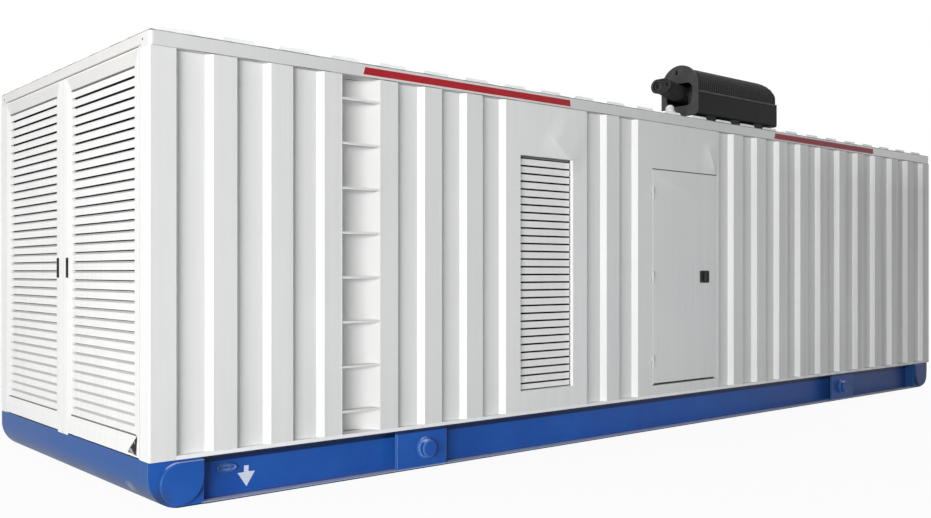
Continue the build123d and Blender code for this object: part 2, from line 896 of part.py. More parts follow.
# Silencer end frame: a plate round the pocket, proud of the cover, with a hook slot near its top
with BuildPart() as end_frame:
    extrude(loaf(silencer_half + end_frame_border, silencer_base, end_frame_corner), amount=-end_frame_thickness)
    extrude(pocket(), amount=-end_frame_thickness, mode=Mode.SUBTRACT)
    hook_level = spring_level + silencer_half - hook_drop - hook_height / 2
    with BuildSketch(Plane.YZ.offset(silencer_front)):
        with Locations((silencer_y + hook_shift, hook_level)):
            SlotOverall(hook_height, hook_width, rotation=90)
    extrude(amount=-end_frame_thickness, mode=Mode.SUBTRACT)
save(end_frame.part, "silencer_end_frame")

# Silencer inlet: a tapered snout from the back of the pocket, leaning forwards and inwards to a
# flange with two ports, and a plain pipe beside it in the pocket
def snout_section(x, y, z, across_size, up_size):
    with BuildSketch(Plane.YZ.offset(x)) as section:
        with Locations((y, z)):
            RectangleRounded(across_size, up_size, min(across_size, up_size) / 3)
    return section.sketch


with BuildPart() as inlet:
    root_x = silencer_front + pocket_depth
    throat_x = silencer_front - end_frame_thickness
    flange_x = silencer_front - inlet_reach
    throat_y = silencer_y + throat_shift
    flange_y, flange_z = silencer_y + inlet_shift, pocket_level + inlet_rise
    root = snout_section(root_x, throat_y, pocket_level, inlet_root_width, inlet_root_height)
    throat = snout_section(throat_x, throat_y, pocket_level + throat_rise, throat_width, throat_height)
    neck_length = inlet_flange_length * inlet_neck_share
    neck_width = inlet_flange_width * inlet_neck_share
    neck = snout_section(flange_x, flange_y, flange_z, neck_length, neck_width)
    loft([root, throat], ruled=True)
    loft([throat, neck], ruled=True)
    with BuildSketch(Plane.YZ.offset(flange_x)):
        with Locations((flange_y, flange_z)):
            SlotOverall(inlet_flange_length, inlet_flange_width)
    extrude(amount=-inlet_flange_thickness)
    large_port_y = flange_y + (inlet_flange_length - inlet_flange_width) / 2
    small_port_y = flange_y - inlet_flange_length / 2 + small_port_radius + small_port_margin
    with BuildSketch(Plane.YZ.offset(flange_x - inlet_flange_thickness)):
        with Locations((large_port_y, flange_z)):
            Circle(port_radius)
        with Locations((small_port_y, flange_z)):
            Circle(small_port_radius)
    extrude(amount=port_depth, mode=Mode.SUBTRACT)
with BuildPart() as pipe:
    with BuildSketch(Plane.YZ.offset(silencer_front + pipe_setback)):
        with Locations((silencer_y - pipe_shift, pocket_level)):
            Circle(pipe_radius)
    extrude(amount=pocket_depth - pipe_setback)
    fillet(pipe.faces().sort_by(Axis.X)[0].edges(), pipe_edge_radius)
save(Compound([inlet.part.solid(), pipe.part.solid()]), "silencer_inlet")

# Silencer feet: blocks in the roof valleys under the casing
with BuildPart() as feet:
    valley = pitch * (1 - ridge_share)
    middles = [roof_setback + pitch * i for i in range(1, ridge_count)]
    low, high = silencer_from + valley / 2, silencer_from + silencer_length - valley / 2
    places = [(along(m), silencer_y) for m in middles if low < m < high]
    with BuildSketch(Plane.XY.offset(height)):
        with Locations(*places):
            Rectangle(valley, silencer_width)
    extrude(amount=silencer_clearance)
save(feet.part, "silencer_feet")

# Roof fitting: a domed breather cap on a flange, near the roof edge
with BuildPart() as fitting:
    with BuildSketch(Plane.XY.offset(roof_crest)):
        with Locations((along(fitting_from), across(-1, fitting_offset))):
            Circle(fitting_radius)
    extrude(amount=fitting_flange)
    with BuildSketch(Plane.XY.offset(roof_crest + fitting_flange)):
        with Locations((along(fitting_from), across(-1, fitting_offset))):
            Circle(fitting_radius * fitting_share)
    extrude(amount=fitting_height - fitting_flange)
    fillet(fitting.edges().group_by(Axis.Z)[-1], fitting_dome_radius)
save(fitting.part, "roof_fitting")
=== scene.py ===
"""Looks of the containerized diesel generator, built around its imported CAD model."""

import math
import random

import bmesh
import bpy
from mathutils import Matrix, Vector


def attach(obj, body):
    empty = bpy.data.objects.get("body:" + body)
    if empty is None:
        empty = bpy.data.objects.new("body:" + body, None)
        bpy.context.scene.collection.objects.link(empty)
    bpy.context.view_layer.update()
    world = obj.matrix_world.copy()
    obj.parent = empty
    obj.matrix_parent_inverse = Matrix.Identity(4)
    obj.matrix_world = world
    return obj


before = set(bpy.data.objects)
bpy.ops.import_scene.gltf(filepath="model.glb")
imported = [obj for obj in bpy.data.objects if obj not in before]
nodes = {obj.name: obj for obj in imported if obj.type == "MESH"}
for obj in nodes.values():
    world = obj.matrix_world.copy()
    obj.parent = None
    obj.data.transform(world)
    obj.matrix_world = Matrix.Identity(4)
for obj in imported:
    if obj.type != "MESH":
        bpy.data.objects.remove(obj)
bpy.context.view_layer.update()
scene = bpy.context.scene


# Camera: it stands a little before the louvred corner at chest height and looks along the
# long side. The photograph is 931 by 518, cropped off the lens axis, so a shift frames it.
picture_width, focal_pixels, sensor_width = 931, 980.9, 36
shift_right, shift_up = 59.2, 12.3
camera = bpy.data.objects.new("camera", bpy.data.cameras.new("camera"))
scene.collection.objects.link(camera)
camera.location = (-6.631, -6.002, 1.246)
camera.rotation_euler = (math.radians(90), 0, math.radians(-38.83))
camera.data.sensor_width = sensor_width
camera.data.lens = focal_pixels * sensor_width / picture_width
camera.data.shift_x = shift_right / picture_width
camera.data.shift_y = shift_up / picture_width
scene.camera = camera
scene.view_settings.view_transform = "Standard"


# Studio: a pale seamless floor under a soft white surround. The main softbox stands well off
# the louvred corner, so the end is the brightest face and the long side darkens to the rear.
def linear(code):
    """Linear colour of an sRGB hex code."""
    parts = [int(code[i : i + 2], 16) / 255 for i in (1, 3, 5)]
    return (*[c / 12.92 if c <= 0.04045 else ((c + 0.055) / 1.055) ** 2.4 for c in parts], 1)


def add(tree, kind, inputs=None, **settings):
    """Adds a shader node; inputs maps a socket to a value or to another node's output."""
    made = tree.nodes.new(kind)
    for key, value in settings.items():
        setattr(made, key, value)
    for key, value in (inputs or {}).items():
        if isinstance(value, bpy.types.NodeSocket):
            tree.links.new(value, made.inputs[key])
        else:
            made.inputs[key].default_value = value
    return made


def maths(tree, operation, *values):
    """Result of a maths node on numbers and sockets."""
    return add(tree, "ShaderNodeMath", dict(enumerate(values)), operation=operation).outputs[0]


def vector_maths(tree, operation, *values, result="Vector"):
    """Result of a vector maths node on vectors and sockets."""
    made = add(tree, "ShaderNodeVectorMath", dict(enumerate(values)), operation=operation)
    return made.outputs[result]


def times(tree, one, other):
    """Product of two numbers or sockets."""
    return maths(tree, "MULTIPLY", one, other)


def ramp(tree, value, start, stop, low=0.0, high=1.0):
    """Value carried from start..stop to low..high and held there."""
    return add(tree, "ShaderNodeMapRange", {
        "Value": value, "From Min": start, "From Max": stop, "To Min": low, "To Max": high}).outputs[0]


def new_tree(name):
    """A new material with an empty tree."""
    material = bpy.data.materials.new(name)
    material.use_nodes = True
    material.node_tree.nodes.clear()
    return material, material.node_tree


def place_on(tree):
    """Place on the part in metres, as a vector and as its X, Y and Z."""
    place = add(tree, "ShaderNodeTexCoord").outputs["Object"]
    return place, add(tree, "ShaderNodeSeparateXYZ", {0: place}).outputs


def seen_share(tree):
    """1 for rays that show the studio to the camera, by sight, in gloss or through glass."""
    path = add(tree, "ShaderNodeLightPath").outputs
    seen = maths(tree, "MAXIMUM", path["Is Camera Ray"], path["Is Glossy Ray"])
    return maths(tree, "MAXIMUM", seen, path["Is Transmission Ray"])


def softbox(name, place, aim, size, power, colour):
    """A plain rectangular lamp at a place, turned to an aim."""
    lamp = bpy.data.objects.new(name, bpy.data.lights.new(name, "AREA"))
    scene.collection.objects.link(lamp)
    lamp.data.shape = "RECTANGLE"
    lamp.data.size, lamp.data.size_y = size
    lamp.data.energy = power
    lamp.data.color = linear(colour)[:3]
    lamp.location = place
    lamp.rotation_euler = (Vector(aim) - Vector(place)).to_track_quat("-Z", "Y").to_euler()


world = bpy.data.worlds.new("studio")
scene.world = world
world.use_nodes = True
tree = world.node_tree
tree.nodes.clear()
dim = add(tree, "ShaderNodeBackground", {"Color": linear("#f4f6fb"), "Strength": 0.18})
white = add(tree, "ShaderNodeBackground", {"Color": (1, 1, 1, 1), "Strength": 1.0})
mixed = add(tree, "ShaderNodeMixShader", {0: seen_share(tree), 1: dim.outputs[0], 2: white.outputs[0]})
add(tree, "ShaderNodeOutputWorld", {"Surface": mixed.outputs[0]})

softbox("corner_softbox", (-17, -10.5, 2.2), (-3.5, -1.2, 1.2), (10, 5), 3250, "#fffefc")
softbox("end_softbox", (-20, 5, 4), (-4.5, 0.5, 1.3), (6, 5), 160, "#fffdfa")
softbox("top_softbox", (0.5, 0.5, 9), (0.5, -0.3, 2.4), (12, 3), 420, "#f6f9ff")

floor_half, glow_near, glow_far = 60, 2.0, 9.0
material, tree = new_tree("Pale_studio_floor")
away = vector_maths(tree, "LENGTH", place_on(tree)[0], result="Value")
share = times(tree, ramp(tree, away, glow_near, glow_far, 0.945, 0.992), seen_share(tree))
matt = add(tree, "ShaderNodeBsdfDiffuse", {"Color": linear("#b8b8ba")})
glowing = add(tree, "ShaderNodeEmission", {"Color": (1, 1, 1, 1), "Strength": 1.0})
mixed = add(tree, "ShaderNodeMixShader", {0: share, 1: matt.outputs[0], 2: glowing.outputs[0]})
add(tree, "ShaderNodeOutputMaterial", {"Surface": mixed.outputs[0]})
mesh = bpy.data.meshes.new("studio_floor")
corners = [(floor_half * p, floor_half * q, 0) for p, q in ((-1, -1), (1, -1), (1, 1), (-1, 1))]
mesh.from_pydata(corners, [], [(0, 1, 2, 3)])
floor = bpy.data.objects.new("studio_floor", mesh)
scene.collection.objects.link(floor)
mesh.materials.append(material)


# Skid: rolled channel beams, boxed corner blocks and plate rolled under at the ends, in blue
# enamel sprayed over mill scale. Its edges carry a painted pale highlight, and a dark navy painted
# shadow lies on the web and upper flange under the sill. The skid is painted darker towards the
# rear, on faces turned to the front and in cloudy patches towards the foot of its end faces, all
# painted shade. The lower flange's top and toe are painted paler, painted light with some dust,
# and a thin black painted contact shadow runs along its foot.
skid_end, block_start = 4.5, 4.18
web_face, flange_tip, flange_thick = 1.146, 1.230, 0.012
smudge_middle, smudge_reach = (-4.5, -0.955, 0.085), (6, 16, 26)


def mix(tree, share, one, other):
    """Colour between two, by a share; colours are sockets or hex codes."""
    ends = [linear(c) if isinstance(c, str) else c for c in (one, other)]
    made = add(tree, "ShaderNodeMix", {"Factor": share, "A": ends[0], "B": ends[1]}, data_type="RGBA")
    return made.outputs["Result"]


def noise(tree, place, scale, detail=2.0, roughness=0.5):
    """Cloudy value about 1 / scale metres across."""
    return add(tree, "ShaderNodeTexNoise", {
        "Vector": place, "Scale": scale, "Detail": detail, "Roughness": roughness}).outputs["Fac"]


def normal_of(tree):
    """The face's own normal, as a vector and as its X, Y and Z."""
    normal = add(tree, "ShaderNodeNewGeometry").outputs["Normal"]
    return normal, add(tree, "ShaderNodeSeparateXYZ", {0: normal}).outputs


def bumped(tree, height, distance, strength, normal=None):
    """Normal tilted by a height, from the face's own normal or a given one."""
    inputs = {"Height": height, "Distance": distance, "Strength": strength}
    if normal is not None:
        inputs["Normal"] = normal
    return add(tree, "ShaderNodeBump", inputs).outputs[0]


def coat(tree, colour, roughness, normal=None, gloss=0.5, metal=0.0):
    """Ends a material's tree with a surface."""
    inputs = {"Base Color": colour, "Roughness": roughness, "Specular IOR Level": gloss, "Metallic": metal}
    if normal is not None:
        inputs["Normal"] = normal
    shader = add(tree, "ShaderNodeBsdfPrincipled", inputs)
    add(tree, "ShaderNodeOutputMaterial", {"Surface": shader.outputs[0]})


def edge_share(tree, radius):
    """1 on edges, where the rounded normal leaves the face's own; and that rounded normal."""
    rounded = add(tree, "ShaderNodeBevel", {"Radius": radius}, samples=6).outputs[0]
    same = vector_maths(tree, "DOT_PRODUCT", rounded, normal_of(tree)[0], result="Value")
    return ramp(tree, same, 0.995, 0.93), rounded


def skid_enamel(name, deep, bright):
    """Enamel between two blues, with a grime smudge and the painted highlights and painted shade of each part
    of the skid.
    """
    material, tree = new_tree(name)
    place, spot = place_on(tree)
    facing = normal_of(tree)[1]
    along = maths(tree, "ABSOLUTE", spot["X"])
    across = maths(tree, "ABSOLUTE", spot["Y"])
    between_blocks = ramp(tree, along, block_start + 0.02, block_start)
    cloud = noise(tree, place, 2.2, 5.0, 0.6)
    colour = mix(tree, ramp(tree, cloud, 0.3, 0.7), deep, bright)

    # Painted highlight: edges are mixed toward pale blue, less so at the ends.
    edge, rounded = edge_share(tree, 0.006)
    edge = times(tree, edge, ramp(tree, along, skid_end - 0.07, skid_end - 0.04, 0.75, 0.28))
    colour = mix(tree, edge, colour, "#9cc2f6")
    # Painted shade: the enamel is darkened towards the rear.
    rear_painted_shade = ramp(tree, spot["X"], -0.5, 4.2, 0.0, 0.75)
    colour = mix(tree, rear_painted_shade, colour, "#16264f")

    # Painted shadow: a dark navy band under the sill on the web and on the upper flange, between the corner
    # blocks.
    on_web = ramp(tree, across, web_face + 0.024, web_face + 0.014)
    web_sill_shadow = times(tree, on_web, ramp(tree, spot["Z"], 0.199, 0.206, 0.0, 0.9))
    flange_sill_shadow = ramp(tree, spot["Z"], 0.228, 0.236, 0.0, 0.9)
    film = times(tree, maths(tree, "MAXIMUM", web_sill_shadow, flange_sill_shadow), between_blocks)
    colour = mix(tree, film, colour, "#0a1a3c")

    # Painted shade: faces turned to the front are darkened.
    front_face_shade = ramp(tree, facing["X"], -0.5, -0.9, 0.0, 0.6)
    colour = mix(tree, front_face_shade, colour, "#194574")
    # Painted shade: greyer and darker towards the foot of the end faces, in cloudy patches.
    end_face = ramp(tree, along, skid_end - 0.14, skid_end - 0.06)
    end_foot_shade = times(tree, end_face, ramp(tree, spot["Z"], 0.14, 0.02, 0.0, 1.7))
    colour = mix(tree, times(tree, end_foot_shade, cloud), colour, "#3a4552")
    smudge = vector_maths(tree, "SUBTRACT", place, smudge_middle)
    smudge = vector_maths(tree, "MULTIPLY", smudge, smudge_reach)
    smudge = vector_maths(tree, "LENGTH", smudge, result="Value")
    colour = mix(tree, ramp(tree, smudge, 1.1, 0.1, 0.0, 0.75), colour, "#8b949d")

    # Painted light with some dust: the lower flange's up-facing top is paler towards its edge, and its toe is
    # paler too.
    outer_flange = ramp(tree, across, web_face + 0.029, web_face + 0.049, 0.1, 0.85)
    lit_dusty_top = times(tree, ramp(tree, facing["Z"], 0.7, 1.0), outer_flange)
    colour = mix(tree, lit_dusty_top, colour, "#eef1fb")
    at_tip = ramp(tree, across, flange_tip - 0.008, flange_tip - 0.002)
    lit_dusty_toe = times(tree, at_tip, ramp(tree, spot["Z"], flange_thick + 0.0015, flange_thick - 0.0005))
    colour = mix(tree, times(tree, lit_dusty_toe, between_blocks), colour, "#a0b0d2")
    # Painted contact shadow: a thin black line along the very foot.
    foot = ramp(tree, spot["Z"], 0.0065, 0.005)
    colour = mix(tree, foot, colour, "#101216")

    peel = bumped(tree, noise(tree, place, 240.0), 0.0002, 0.5, rounded)
    coat(tree, colour, ramp(tree, cloud, 0.0, 1.0, 0.34, 0.52), peel, 0.2)
    return material


def paint(names, material):
    """Puts a material on CAD nodes."""
    for name in names:
        nodes[name].data.materials.clear()
        nodes[name].data.materials.append(material)


enamel = skid_enamel("Blue_skid_enamel", "#1d52a8", "#2860b6")
paint([n for n in nodes if n.startswith(("skid", "corner_pads", "lifting", "cross"))], enamel)


# Welds: the lifting plates, their stepped studs and the corner blocks are fixed to the beams
# by hand-laid beads, rippled along their run and painted over with the skid.
long_sides = ((-1, "right"), (1, "left"))
plate_ends, plate_edge_levels = (2.457, 2.863), (0.013, 0.245)
stud_x, stud_z, stud_ring = 2.636, 0.129, 0.066
bead_low, bead_high, bead_step, bead_sides = 0.016, 0.242, 0.006, 6


def piece(name, material, body, slot, build, *given):
    """A new object whose mesh build(bm, *given) fills, riding on a body; its slot argument is not used."""
    bm = bmesh.new()
    build(bm, *given)
    bmesh.ops.recalc_face_normals(bm, faces=bm.faces)
    mesh = bpy.data.meshes.new(name)
    bm.to_mesh(mesh)
    bm.free()
    made = bpy.data.objects.new(name, mesh)
    scene.collection.objects.link(made)
    mesh.materials.append(material)
    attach(made, body)
    return made


def turns(count):
    """Angles of evenly spaced points on a circle."""
    return [math.tau * k / count for k in range(count)]


def skin(bm, rings, closed=False):
    """Joins each ring of vertices to the next; open ends are filled. Returns the side faces."""
    pairs = list(zip(rings, rings[1:]))
    if closed:
        pairs.append((rings[-1], rings[0]))
    made = []
    for one, other in pairs:
        for k in range(len(one)):
            j = (k + 1) % len(one)
            made.append(bm.faces.new((one[k], one[j], other[j], other[k])))
    if not closed:
        bm.faces.new(rings[0])
        bm.faces.new(rings[-1])
    return made


def tube(bm, points, radius, sides=8, closed=False, ripple=0.0):
    """A round bead along points, its ends capped, its radius rippled from point to point."""
    points = [Vector(p) for p in points]
    count = len(points)
    rings = []
    for i, point in enumerate(points):
        ahead = points[(i + 1) % count] if closed or i + 1 < count else point
        behind = points[i - 1] if closed or i > 0 else point
        run = (ahead - behind).normalized()
        across = run.orthogonal() if abs(run.z) > 0.95 else run.cross(Vector((0, 0, 1)))
        across.normalize()
        up = across.cross(run)
        size = radius * (1 + ripple * (-1) ** i)
        ring = [point + size * (math.cos(a) * across + math.sin(a) * up) for a in turns(sides)]
        rings.append([bm.verts.new(p) for p in ring])
    skin(bm, rings, closed)
    for face in bm.faces:
        face.smooth = True


def run_points(start, stop, step):
    """Points from start to stop about a step apart."""
    start, stop = Vector(start), Vector(stop)
    count = max(2, round((stop - start).length / step))
    return [start.lerp(stop, i / count) for i in range(count + 1)]


def upright_bead(bm, x, y, radius):
    """A bead up the web between the flanges."""
    run = run_points((x, y, bead_low), (x, y, bead_high), bead_step)
    tube(bm, run, radius, bead_sides, ripple=0.1)


def weld_beads(bm, side):
    """The beads of one beam: round its lifting plates and studs, and up its corner blocks."""
    plate_y, plate_end_y, stud_y, block_y = [side * y for y in (1.2275, 1.216, 1.231, 1.149)]
    for end in (-1, 1):
        one, other = [end * x for x in plate_ends]
        for level in plate_edge_levels:
            run = run_points((one, plate_y, level), (other, plate_y, level), bead_step)
            tube(bm, run, 0.004, bead_sides, ripple=0.1)
        for x in (one, other):
            upright_bead(bm, x, plate_end_y, 0.005)
        ring = [(end * stud_x + stud_ring * math.cos(a), stud_y, stud_z + stud_ring * math.sin(a))
                for a in turns(72)]
        tube(bm, ring, 0.0045, bead_sides, closed=True, ripple=0.12)
        upright_bead(bm, end * (block_start - 0.001), block_y, 0.006)


for side, label in long_sides:
    piece(f"skid_welds_{label}", enamel, "enclosure", "blue_skid_paint", weld_beads, side)


# Hand hole: an oval opening near the louvred corner of each beam, its edge flanged outwards and
# a plate welded in behind it, so it reads as a shallow dish.
hole_x, hole_z, hole_half, hole_rise = -4.0015, 0.160, 0.060, 0.0225
dish_rings = ((1.08, 0.0), (0.98, 0.008), (0.85, 0.0045), (0.6, 0.002), (0.3, 0.001))
# The dish's enamel is a lighter copy of the skid's: painted light, for the glints in its hollow.
dish_enamel_painted_light = skid_enamel("Blue_dish_enamel", "#2a4f95", "#3a62a8")


def hand_hole(bm, side):
    """The flanged edge, and the dish as rings: a share of the oval, and how far it is proud."""
    def oval(share, proud):
        return [(hole_x + hole_half * share * math.cos(a), side * (web_face + proud),
                 hole_z + hole_rise * share * math.sin(a)) for a in turns(64)]

    tube(bm, oval(1.0, 0.006), 0.0055, 10, closed=True)
    rings = [[bm.verts.new(p) for p in oval(share, proud)] for share, proud in dish_rings]
    for face in skin(bm, rings):
        face.smooth = True


for side, label in long_sides:
    piece(f"web_hand_hole_{label}", dish_enamel_painted_light, "enclosure", "blue_skid_paint", hand_hole, side)


# Stencilled arrow: a plain white arrow on each beam web beside the hand hole, pointing at the
# ground, its paint a little thin and rough.
arrow_x, film_thick = -3.877, 0.0008
arrow_outline = [(-0.014, 0.157), (0.015, 0.156), (0.0145, 0.121), (0.056, 0.1205), (0.001, 0.039),
                 (-0.055, 0.1195), (-0.0145, 0.120)]


def stencil_paint():
    material, tree = new_tree("White_stencil_paint")
    speck = noise(tree, place_on(tree)[0], 180.0, 3.0)
    coat(tree, mix(tree, ramp(tree, speck, 0.52, 0.7, 0.0, 0.5), "#dfe4f4", "#a9b9dc"), 0.6)
    return material


def prism(bm, outline, near, far, along="y"):
    """A flat outline carried from near to far, along y for a side or along x for an end."""
    def ring(depth):
        return [bm.verts.new((p, depth, q) if along == "y" else (depth, p, q)) for p, q in outline]

    skin(bm, [ring(near), ring(far)])


def stencil_arrow(bm, side):
    outline = [(arrow_x + p, q) for p, q in arrow_outline]
    prism(bm, outline, side * web_face, side * (web_face + film_thick))


stencil_white = stencil_paint()
for side, label in long_sides:
    piece(f"stencil_arrow_{label}", stencil_white, "enclosure", "white_body_paint", stencil_arrow, side)


# Floor: grey painted chequer plate, its raised lozenges about 30 mm apart and crossed in turn,
# worn a little brighter on top than in the field between.
lozenge_wide, lozenge_long = 0.030, 0.060


def chequer_plate():
    material, tree = new_tree("Grey_chequer_plate")
    place = place_on(tree)[0]
    tops = []
    for angle, shift in ((45, 0.0), (-45, 0.5)):
        turned = add(tree, "ShaderNodeMapping", {
            "Vector": place, "Location": (shift, shift, 0), "Rotation": (0, 0, math.radians(angle)),
            "Scale": (1 / lozenge_wide, 1 / lozenge_long, 0)}).outputs[0]
        cell = add(tree, "ShaderNodeTexVoronoi", {"Vector": turned, "Scale": 1.0, "Randomness": 0.0})
        tops.append(ramp(tree, cell.outputs["Distance"], 0.24, 0.18))
    top = maths(tree, "MAXIMUM", *tops)
    colour = mix(tree, noise(tree, place, 4.0, 5.0), "#45474a", "#5b5e62")
    colour = mix(tree, times(tree, top, 0.5), colour, "#7b7e82")
    coat(tree, colour, 0.55, bumped(tree, top, 0.0015, 1.0))
    return material


paint(["floor_deck"], chequer_plate())


# Enclosure: folded steel walls, posts and rails in satin white two-pack, a little uneven from
# the gun, with faint runs of dust down the sheets and soot towards the rear. Inside is a dark
# perforated acoustic lining with holes about 14 mm apart, drawn that coarse so that they show.
room, room_top, lining_holes = (1.152, -4.446, 4.402), 2.414, 0.014
run_stretch, streak_stretch = (26, 26, 0.7), (9, 9, 0.25)
sheet_white, sheet_dust = "#e9eaea", "#d6d7d8"


def lined(tree, place, spot, colour, bounds):
    """Colour with the lining inside bounds: how far across, the front and the rear."""
    depth, front, rear = bounds
    inside = maths(tree, "LESS_THAN", maths(tree, "ABSOLUTE", spot["Y"]), depth)
    for axis, test, limit in (("X", "GREATER_THAN", front), ("X", "LESS_THAN", rear),
                              ("Z", "LESS_THAN", room_top)):
        inside = times(tree, inside, maths(tree, test, spot[axis], limit))
    grid = add(tree, "ShaderNodeTexVoronoi", {"Vector": place, "Scale": 1 / lining_holes, "Randomness": 0.0})
    lining = mix(tree, ramp(tree, grid.outputs["Distance"], 0.3, 0.25), "#2c2d2f", "#0c0c0d")
    return mix(tree, inside, colour, lining)


def creased(tree, place, height, crease):
    """Height with a dent, that rises to a line through its middle and falls slowly past it.
    A crease is a middle, a turn, its run-up and fall, its half length and its rise."""
    middle, turn, (run_up, fall), half, rise = crease
    local = vector_maths(tree, "SUBTRACT", place, middle)
    local = add(tree, "ShaderNodeVectorRotate", {"Vector": local, "Angle": turn}, rotation_type="Y_AXIS")
    local = add(tree, "ShaderNodeSeparateXYZ", {0: local.outputs[0]}).outputs
    rising = ramp(tree, local["X"], -run_up, 0.0)
    wedge = times(tree, times(tree, rising, rising), ramp(tree, local["X"], fall, 0.0))
    window = add(tree, "ShaderNodeMapRange", {
        "Value": maths(tree, "ABSOLUTE", local["Z"]), "From Min": half, "From Max": half * 0.3,
        "To Min": 0.0, "To Max": rise}, interpolation_type="SMOOTHSTEP").outputs[0]
    return maths(tree, "MULTIPLY_ADD", wedge, window, height)


def body_paint(name, base, dust, lining=None, creases=(), flatten=0.0, soot_top=0.5, tone=None):
    """White paint with dust, and painted shade on faces turned down; lining and creases are as above.
    Flatten leans the shading to the near side. A tone, which is painted light, is the x where it
    starts, the x where it is full, and its colour."""
    material, tree = new_tree(name)
    place, spot = place_on(tree)
    normal, facing = normal_of(tree)
    cloud = noise(tree, place, 1.3, 4.0, 0.55)
    runs = noise(tree, vector_maths(tree, "MULTIPLY", place, run_stretch), 1.0, 3.0)
    colour = mix(tree, ramp(tree, times(tree, cloud, runs), 0.2, 0.42, 0.0, 0.25), base, dust)
    grime = times(tree, ramp(tree, spot["Z"], 0.75, 0.28, 0.0, 0.04), runs)
    colour = mix(tree, grime, colour, "#9a958c")
    if tone:
        start, full, tint = tone
        colour = mix(tree, ramp(tree, spot["X"], start, full), colour, tint)
    # Painted shade: faces turned downwards are greyed.
    under = ramp(tree, facing["Z"], -0.03, -0.08, 0.0, 0.4)
    colour = mix(tree, under, colour, "#bdbab6")
    streak = noise(tree, vector_maths(tree, "MULTIPLY", place, streak_stretch), 1.0, 4.0)
    soot = times(tree, ramp(tree, streak, 0.32, 0.62, 0.2, 1.0), ramp(tree, spot["Z"], 2.38, 2.1, 0.35, 1.0))
    soot = times(tree, soot, ramp(tree, spot["X"], 0.2, 3.0, 0.0, soot_top))
    colour = mix(tree, soot, colour, "#a9a9a7")
    if lining:
        colour = lined(tree, place, spot, colour, lining)
    peel, wave = noise(tree, place, 320.0), noise(tree, place, 2.6, 1.0)
    height = maths(tree, "MULTIPLY_ADD", wave, 40.0, peel)
    for crease in creases:
        height = creased(tree, place, height, crease)
    leaned = None
    if flatten:
        leaned = vector_maths(tree, "ADD", normal, (0, -flatten, 0))
        leaned = vector_maths(tree, "NORMALIZE", leaned)
    bump = bumped(tree, height, 0.00012, 0.6, leaned)
    coat(tree, colour, ramp(tree, cloud, 0.0, 1.0, 0.4, 0.56), bump, 0.18)
    return material


white_paint = body_paint("White_two_pack_paint", sheet_white, sheet_dust, room)
walls = ("wall_right", "wall_left", "wall_rear", "corner_posts", "door_threshold")
paint([n for n in nodes if n.startswith(walls)], white_paint)
# The sills are painted a brighter white than the walls: painted light on their lit faces.
paint(["wall_sills"], body_paint("White_sill_paint_lit", "#fbfcfd", "#f2f4f6"))
# The end headers are painted a greyer white than the walls: painted shade.
paint(["end_headers"], body_paint("White_header_paint_shaded", "#dedddb", "#d2d1cf"))
# The rails are painted greyer than the walls at the front, painted shade, and whiter towards the rear,
# painted light against the lamp's fall-off.
paint(["roof_rails"], body_paint("White_rail_paint_shaded_and_lit", "#dfe0e0", "#d2d3d3", soot_top=0.05,
                                 tone=(0.5, 3.2, "#fdfdfd")))
# The roof is painted a whiter white than the walls: painted light.
paint(["roof_panel"], body_paint("White_roof_paint_lightened", "#f6f7f7", "#eceded", room))


# Roof joint: the ribbed roof sheet lies on the rails in a hand-run bead of grey mastic, darkest
# at the ends. A thin line of it closes the joint between each rail and the walls under it, and
# also draws the shadow under the rail as painted shadow.
sheet_half, sheet_end, bead_overhang, bead_lift = 1.235, 4.485, 0.004, 0.001
rail_face, rail_top, rail_foot = 1.25, 2.490, 2.412
seam_end, seam_proud = 4.35, 0.0012


def joint_mastic():
    material, tree = new_tree("Grey_joint_mastic")
    place, spot = place_on(tree)
    smear = noise(tree, place, 5.0, 4.0)
    colour = mix(tree, ramp(tree, smear, 0.35, 0.65), "#5d5f61", "#b1b3b5")
    along = maths(tree, "ABSOLUTE", spot["X"])
    colour = mix(tree, ramp(tree, along, sheet_end - 0.025, sheet_end - 0.005, 0.0, 0.85), colour, "#2c2d2f")
    coat(tree, colour, 0.7, bumped(tree, noise(tree, place, 150.0), 0.0006, 0.7))
    return material


def rectangle(left, right, low, high):
    """Outline of a rectangle."""
    return [(left, low), (right, low), (right, high), (left, high)]


def roof_bead(bm):
    """The bead round the sheet's edge, a little uneven in height."""
    shake = random.Random(11)
    corners = rectangle(-sheet_end, sheet_end, -sheet_half, sheet_half)
    points = []
    for one, other in zip(corners, corners[1:] + corners[:1]):
        run = run_points((*one, rail_top), (*other, rail_top), 0.05)[:-1]
        points += [p + Vector((0, 0, shake.uniform(-0.0012, 0.0012))) for p in run]
    grow = Vector((1 + bead_overhang / sheet_end, 1 + bead_overhang / sheet_half, 1))
    tube(bm, [p * grow + Vector((0, 0, bead_lift)) for p in points], 0.0075, 8, closed=True)


def rail_joint_shadow(bm, side):
    outline = rectangle(-seam_end, seam_end, rail_foot + 0.0005, rail_foot + 0.005)
    prism(bm, outline, side * rail_face, side * (rail_face + seam_proud))


mastic = joint_mastic()
piece("roof_sheet_mastic", mastic, "enclosure", "white_body_paint", roof_bead)
for side, label in long_sides:
    piece(f"rail_joint_shadow_{label}", mastic, "enclosure", "white_body_paint", rail_joint_shadow, side)


# Rail stripes: two lengths of red vinyl on each roof rail with a narrow pale border, their ends
# cut on the slant. The film is smooth, and it is painted darker towards the rear as painted shade.
stripe_low, stripe_high, stripe_slant, stripe_border = 2.430, 2.475, 0.014, 0.005
stripe_runs = (("front", -3.138, -1.296), ("rear", 1.405, 3.225))


